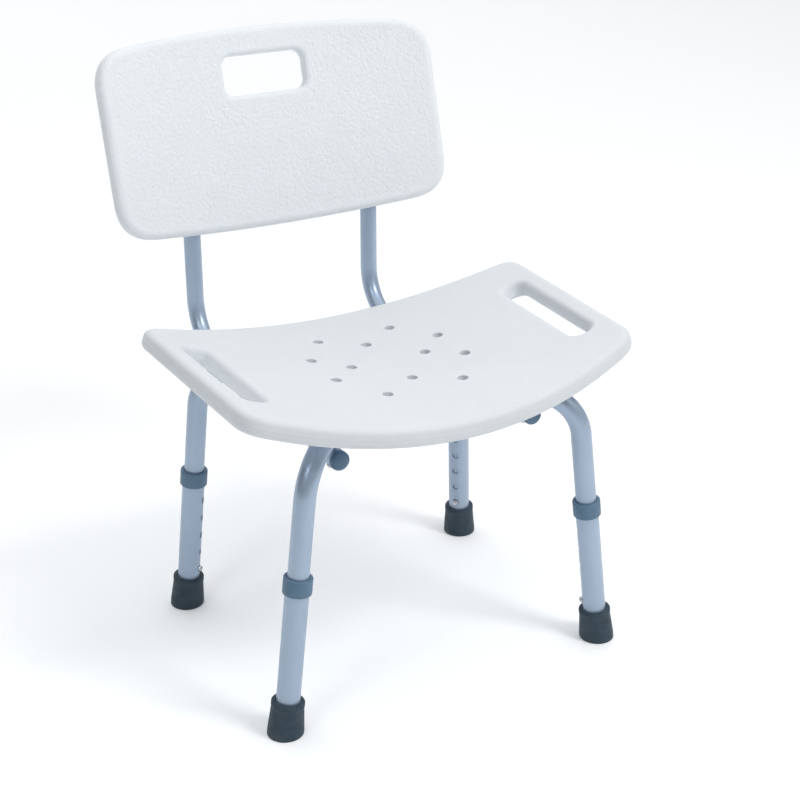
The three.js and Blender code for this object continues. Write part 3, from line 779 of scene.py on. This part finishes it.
def leg(name):
    matrix = leg_frame(name)
    outer, inner, bottom, top = (LEG_TUBE[k] for k in ("outer", "inner", "bottom", "top"))
    soft = 0.25
    profile = [(inner, bottom), (outer - soft, bottom), (outer, bottom + soft)]
    profile += [(outer, bottom + (top - bottom) * k / 24) for k in range(1, 24)]
    profile += [(outer, top - soft), (outer - soft, top), (inner, top)]
    tube = build(f"lower_leg_{name}", *lathe(profile, matrix, 56, closed=True), "anodised_tube")
    cutters = []
    for i in range(HOLE_COUNT):
        hole = [(0, 0), (HOLE_RADIUS, 0), (HOLE_RADIUS, outer - 0.75), (HOLE_RADIUS + 0.9, outer + 0.3),
                (HOLE_RADIUS + 0.9, 20), (0, 20)]
        cutters.append(lathe(hole, across(matrix, FIRST_HOLE + i * HOLE_PITCH), 32))
    carve(tube, joined(cutters), sharp=30)

    outer, low, high = (COLLAR[k] for k in ("outer", "bottom", "top"))
    bore = LEG_TUBE["outer"] + GAP
    guide = CROSS_TUBE["outer"] + 0.45
    lip = LEG_TUBE["top"] + GAP
    profile = rounded([(bore, low), (outer, low), (outer, high), (guide, high), (guide, lip), (bore, lip)],
                      [0.3, 1.5, 1.6, 0.7, 0, 0], steps=6, closed=True)
    build(f"leg_collar_{name}", *lathe(profile, matrix, 56, closed=True), "grey_plastic")
    rubber_foot(name)
    washer = rounded([(0, FOOT["floor"] + GAP), (13.2, FOOT["floor"] + GAP), (13.2, FOOT["floor"] + 1.9),
                      (0, FOOT["floor"] + 1.9)], [0, 0.3, 0.3, 0], steps=2)
    build(f"foot_washer_{name}", *lathe(washer, matrix, 48), "steel")
    button(name)
    button_spring(name)


# ---------------------------------------------------------------- backrest

BACK_FRAME = np.eye(4)
BACK_FRAME[1, 1] = BACK_FRAME[2, 2] = math.cos(BACK_LEAN)
BACK_FRAME[1, 2], BACK_FRAME[2, 1] = math.sin(BACK_LEAN), -math.sin(BACK_LEAN)
BACK_FRAME[:3, 3] = (0, BACK_Y, BACK_Z)


def back_depth(x):
    return -BACK_CURVE * (x / BACK["half"]) ** 2


def place_back(points, height):
    x, z = points[:, 0], points[:, 1]
    slope = -2 * BACK_CURVE * x / BACK["half"] ** 2
    length = np.sqrt(1 + slope**2)
    flat = np.stack([x + height * slope / length, back_depth(x) - height / length, z], axis=1)
    return moved(flat, BACK_FRAME)


def back_tube_line(side, extra=0.0):
    x = side * BACK_TUBE["x"]
    depth = back_depth(x) + BACK_TUBE["offset"]
    low, high = (moved([(x, depth, BACK_TUBE_CORNER + rise)], BACK_FRAME)[0]
                 for rise in (0, BACK_TUBE["above"] + extra))
    return bent([((x, BACK_TUBE["front"], BACK_TUBE_Z), 0), ((x, low[1], BACK_TUBE_Z), BACK_TUBE["bend"]),
                 (low, BACK_TUBE["bend"]), (high, 0)])


def across_panel(x, row):
    """A frame whose +Z points out of the panel's back."""
    turn = np.array([[1, 0, 0, x], [0, 0, 1, 0], [0, -1, 0, row], [0, 0, 0, 1]], float)
    return BACK_FRAME @ turn


def backrest():
    grip = BACK_GRIP
    hole = slot_outline(0, (grip["low"] + grip["high"]) / 2, grip["half"], (grip["high"] - grip["low"]) / 2,
                        grip["corner"])

    def relief(points, distance):
        return grain(points, BACK_GRAIN) * np.clip((distance - RELIEF_START) / RELIEF_RAMP, 0, 1)

    pitch = BACK_PITCH
    verts, faces = moulded((panel_outline(BACK), BACK_EDGE), [(hole, grip["edge"])], place_back, BACK_THICK,
                           (pitch, REAR_PITCH), relief)
    piece = build("backrest_panel", verts, faces, "backrest_plastic")
    for side in (-1, 1):
        channel = sweep(back_tube_line(side, 6.6), (BACK_TUBE["outer"] + 2 * GAP,), 48)
        x = side * BACK_TUBE["x"]
        front = -back_depth(x) - BACK_TUBE["offset"] + BACK_TUBE["outer"]
        holes = [drill(across_panel(x, row), SCREW["shank"] + 0.5, -front - SCREW["bite"] - 0.6, 30)
                 for row in SCREW_ROWS]
        carve(piece, channel, joined(holes))


def back_tube(side, name):
    line = back_tube_line(side)
    piece = build(f"back_tube_{name}", *sweep(line, (BACK_TUBE["outer"], BACK_TUBE["inner"])),
                  "anodised_tube")
    cutters = [drill(upright(at), BOLT["hole"], 250, 400) for at in SEAT_BOLTS.values() if at[0] * side > 0]
    cutters += [drill(across_panel(side * BACK_TUBE["x"], row), SCREW["shank"] + 0.5, -90, 90)
                for row in SCREW_ROWS]
    carve(piece, joined(cutters))
    for node, (point, tangent), sign, lip, dome in (("front_plug", line[0], -1, 0.6, 5.0),
                                                    ("top_plug", line[-1], 1, -0.4, 2.0)):
        axis = tangent * sign
        x = unit(np.cross((1, 0.2, 0.1), axis))
        matrix = np.eye(4)
        matrix[:3, 0], matrix[:3, 1], matrix[:3, 2], matrix[:3, 3] = x, np.cross(axis, x), axis, point
        radius, bore = BACK_TUBE["outer"] + lip, BACK_TUBE["inner"] - 2 * GAP
        cap = [(radius * math.cos(a), 4 + dome * math.sin(a)) for a in np.linspace(0, math.pi / 2, 12)]
        profile = [(0, -8), (bore - 0.5, -8), (bore, -7.5), (bore, GAP), (radius - 0.3, GAP),
                   (radius, GAP + 0.3), *cap[:-1], (0, 4 + dome)]
        build(f"{node}_{name}", *lathe(profile, matrix, 48), "grey_plastic")
    x = side * BACK_TUBE["x"]
    rear = back_depth(x) + BACK_TUBE["offset"] + BACK_TUBE["outer"] + GAP
    tip = rear - 2 * BACK_TUBE["outer"] - GAP - SCREW["bite"]
    shank, head, tall = SCREW["shank"], SCREW["head"], SCREW["head_height"]
    for row, level in zip(SCREW_ROWS, ("lower", "upper")):
        matrix = across_panel(x, row)
        crown = [(head * math.cos(a), rear + 0.5 + (tall - 0.5) * math.sin(a))
                 for a in np.linspace(0, math.pi / 2, 9)]
        profile = [(0, tip), (shank, tip + 1.5), (shank, rear), (head, rear), *crown[:-1], (0, rear + tall)]
        screw = build(f"backrest_screw_{name}_{level}", *lathe(profile, matrix, 36), "steel")
        carve(screw, cross_recess(matrix, rear + tall - 1.5, 2.9, 0.45), sharp=30)


def cross_recess(matrix, depth, reach, half):
    """The solid of a screwdriver's cross, from a depth up."""
    a, b = half, reach
    plan = [(a, -b), (a, -a), (b, -a), (b, a), (a, a), (a, b), (-a, b), (-a, a), (-b, a), (-b, -a),
            (-a, -a), (-a, -b)]
    low = [(x * 0.7, y * 0.7, depth) for x, y in plan]
    high = [(x, y, depth + 4) for x, y in plan]
    count = len(plan)
    faces = [list(range(count))[::-1], list(range(count, 2 * count))]
    faces += [[k, (k + 1) % count, count + (k + 1) % count, count + k] for k in range(count)]
    return moved(low + high, matrix), faces


def hex_recess(matrix, low, high, reach):
    return lathe([(0, low), (reach, low), (reach, high), (0, high)], matrix, 6)


# ---------------------------------------------------------------- seat

SEAT_MIDDLE = SEAT_TOP - SEAT_SAG - SEAT_THICK / 2


def place_seat(points, height):
    x, y = points[:, 0], points[:, 1]
    slope = 2 * SEAT_SAG * x / SEAT["half"] ** 2
    length = np.sqrt(1 + slope**2)
    level = SEAT_MIDDLE + SEAT_SAG * (x / SEAT["half"]) ** 2
    return np.stack([x - height * slope / length, y, level + height / length], axis=1)


def seat_underside(x):
    return SEAT_TOP - SEAT_THICK - SEAT_SAG * (1 - (x / SEAT["half"]) ** 2)


def seat():
    holes = [(circle_outline(x, y, DRAIN_RADIUS), DRAIN_EDGE) for x, y in DRAINS]
    half_x, half_y = GRIP["half"]
    for side in (-1, 1):
        slot = slot_outline(0, 0, half_x, half_y, GRIP["corner"])
        c, s = math.cos(side * GRIP["turn"]), math.sin(side * GRIP["turn"])
        turned = np.stack([slot[:, 0] * c + slot[:, 1] * s, slot[:, 1] * c - slot[:, 0] * s], axis=1)
        holes.append((turned + (side * GRIP["x"], GRIP["y"]), GRIP_EDGE))

    def relief(points, distance):
        return grain(points, SEAT_GRAIN) * np.clip((distance - RELIEF_START) / RELIEF_RAMP, 0, 1)

    pitch = SEAT_PITCH
    verts, faces = moulded((panel_outline(SEAT), SEAT_EDGE), holes, place_seat, SEAT_THICK,
                           (pitch, REAR_PITCH), relief)
    piece = build("seat_panel", verts, faces, "seat_plastic")
    pockets = []
    for at in SEAT_BOLTS.values():
        roof = seat_underside(at[0]) + INSERT["length"] + GAP
        pockets.append(drill(upright(at), INSERT["outer"] + GAP, roof - 40, roof))
    carve(piece, joined(pockets))


def fasteners():
    shank, head, tall = BOLT["shank"], BOLT["head"], BOLT["head_height"]
    under = BACK_TUBE_Z - BACK_TUBE["outer"] - GAP
    for name, at in SEAT_BOLTS.items():
        tip = seat_underside(at[0]) + INSERT["length"] - 2
        profile = rounded([(0, under - tall), (head, under - tall), (head, under), (shank, under),
                           (shank, tip), (0, tip)], [0, 2.4, 0.3, 0, 0.6, 0], steps=6)
        bolt = build(f"seat_bolt_{name}", *lathe(profile, upright(at), 40), "steel")
        carve(bolt, hex_recess(upright(at), under - tall - 3, under - 1.4, 2.9), sharp=30)
        low = seat_underside(at[0]) + GAP
        high = low + INSERT["length"] - GAP
        profile = rounded([(BOLT["hole"], low), (INSERT["outer"], low), (INSERT["outer"], high),
                           (BOLT["hole"], high)], [0.2, 0.4, 0.4, 0.2], steps=3, closed=True)
        build(f"seat_insert_{name}", *lathe(profile, upright(at), 40, closed=True), "steel")
    top = CROSS_Z + CROSS_TUBE["outer"] * TUBE_SKEW + CROSS_SLOPE * head + GAP
    spacer_top = CROSS_Z - CROSS_TUBE["outer"] * TUBE_SKEW - GAP
    nut_top = CROSS_Z - LOWER_DROP - CROSS_TUBE["outer"] - GAP
    here = upright(CROSSING)
    profile = rounded([(0, nut_top - 8), (shank, nut_top - 8), (shank, top), (head, top), (head, top + 3.6),
                       (0, top + 3.6)], [0, 0.6, 0, 0.3, 2.2, 0], steps=6)
    build("centre_bolt", *lathe(profile, here, 40), "steel")
    low = spacer_top - SPACER_THICK + GAP
    profile = rounded([(BOLT["hole"], low), (11, low), (11, spacer_top), (BOLT["hole"], spacer_top)],
                      [0.3, 0.6, 0.6, 0.3], steps=4, closed=True)
    build("centre_spacer", *lathe(profile, here, 48, closed=True), "grey_plastic")
    # A six-sided nut with its corners turned off: the outside comes from a lathe with six sides.
    nut = build("centre_nut", *lathe([(0, nut_top - 5), (6.4, nut_top - 5), (6.4, nut_top), (0, nut_top)],
                                     here, 6), "steel", sharp=25)
    shell = [(5.9, nut_top + 3), (12, nut_top + 3), (12, nut_top - 8), (5.7, nut_top - 8),
             (5.7, nut_top - 5.001), (6.5, nut_top - 4.5), (6.5, nut_top - 0.5), (5.9, nut_top + 0.001)]
    carve(nut, lathe(shell[::-1], here, 48, closed=True), drill(here, BOLT["hole"], nut_top - 9, nut_top + 4),
          sharp=25)


# ---------------------------------------------------------------- the chair

seat()
backrest()
cross_tube("cross_tube_upper", "front_left", "rear_right", False)
cross_tube("cross_tube_lower", "front_right", "rear_left", True)
for leg_name in LEGS:
    leg(leg_name)
back_tube(-1, "left")
back_tube(1, "right")
fasteners()

# ---------------------------------------------------------------- floor, light and camera


def floor():
    made, tree, shader = nodes_of("studio_floor", (0.93, 0.935, 0.94), roughness=0.75,
                                  Emission_Color=(1, 1, 1, 1), Emission_Strength=0.14)
    cloud = texture(tree, "ShaderNodeTexNoise", 1.4, detail=2)
    mix = blended(tree, cloud.outputs["Fac"], (0.915, 0.925, 0.935), (0.925, 0.932, 0.94))
    tree.links.new(mix, shader.inputs["Base Color"])
    mesh = bpy.data.meshes.new("studio_floor")
    side, reach, rise, turn = 9.0, 8.0, 6.0, 2.0
    line = [(-reach, 0)]
    line += [(reach - turn + turn * math.sin(a), turn - turn * math.cos(a))
             for a in np.linspace(0, math.pi / 2, 17)]
    line.append((reach, rise))
    verts = [(x, y, z) for y, z in line for x in (-side, side)]
    faces = [[2 * i, 2 * i + 1, 2 * i + 3, 2 * i + 2] for i in range(len(line) - 1)]
    mesh.from_pydata(verts, [], faces)
    mesh.materials.append(made)
    mesh.shade_smooth()
    plane = bpy.data.objects.new("studio_floor", mesh)
    bpy.context.scene.collection.objects.link(plane)


def softbox(name, place, target, size, power, color=(1, 1, 1)):
    lamp = bpy.data.lights.new(name, "AREA")
    lamp.shape = "RECTANGLE"
    lamp.size, lamp.size_y = size
    lamp.energy = power
    lamp.color = color
    holder = bpy.data.objects.new(name, lamp)
    holder.location = place
    aim = Vector(target) - Vector(place)
    holder.rotation_mode = "QUATERNION"
    holder.rotation_quaternion = aim.to_track_quat("-Z", "Y")
    bpy.context.scene.collection.objects.link(holder)


def studio_world():
    """Soft light from all around, several times stronger from the chair's right than from its left."""
    world = bpy.data.worlds.new("studio")
    world.use_nodes = True
    tree = world.node_tree
    place = tree.nodes.new("ShaderNodeTexCoord")
    parts = tree.nodes.new("ShaderNodeSeparateXYZ")
    tree.links.new(place.outputs["Generated"], parts.inputs["Vector"])
    sky = tree.nodes["Background"]
    sky.inputs["Color"].default_value = (0.94, 0.965, 1.0, 1)
    tree.links.new(spread(tree, parts.outputs["X"], -0.7, 0.7, 0.06, 0.38), sky.inputs["Strength"])
    return world


floor()
scene = bpy.context.scene
scene.view_settings.view_transform = "Standard"
scene.world = studio_world()
softbox("key", (1.05, -1.8, 2.5), (0, 0, 0.45), (0.8, 0.8), 35, (1.0, 0.995, 0.985))
softbox("cool_fill", (-1.6, -1.0, 2.1), (-0.2, 0.2, 0.6), (0.6, 0.6), 7, (0.82, 0.93, 1.0))
softbox("overhead", (0, 2.0, 5.5), (0, 2.0, 0), (12.0, 12.0), 430)

AZIMUTH, ELEVATION, DISTANCE = math.radians(-28.68), math.radians(24.02), 1.96755
TARGET = Vector((np.array([-1.85, -44.07, 326.5]) + SHIFT) * MM)
SENSOR = 36
# The focal length, and the width of the picture that it is measured in.
FOCAL, PICTURE = 1660.23, 800
lens = bpy.data.cameras.new("camera")
lens.sensor_width = SENSOR
lens.lens = SENSOR * FOCAL / PICTURE
camera = bpy.data.objects.new("camera", lens)
back = Vector((math.sin(AZIMUTH) * math.cos(ELEVATION), -math.cos(AZIMUTH) * math.cos(ELEVATION),
               math.sin(ELEVATION)))
camera.location = TARGET + back * DISTANCE
camera.rotation_mode = "QUATERNION"
camera.rotation_quaternion = (-back).to_track_quat("-Z", "Y")
lens.clip_start, lens.clip_end = 0.05, 60
scene.collection.objects.link(camera)
scene.camera = camera
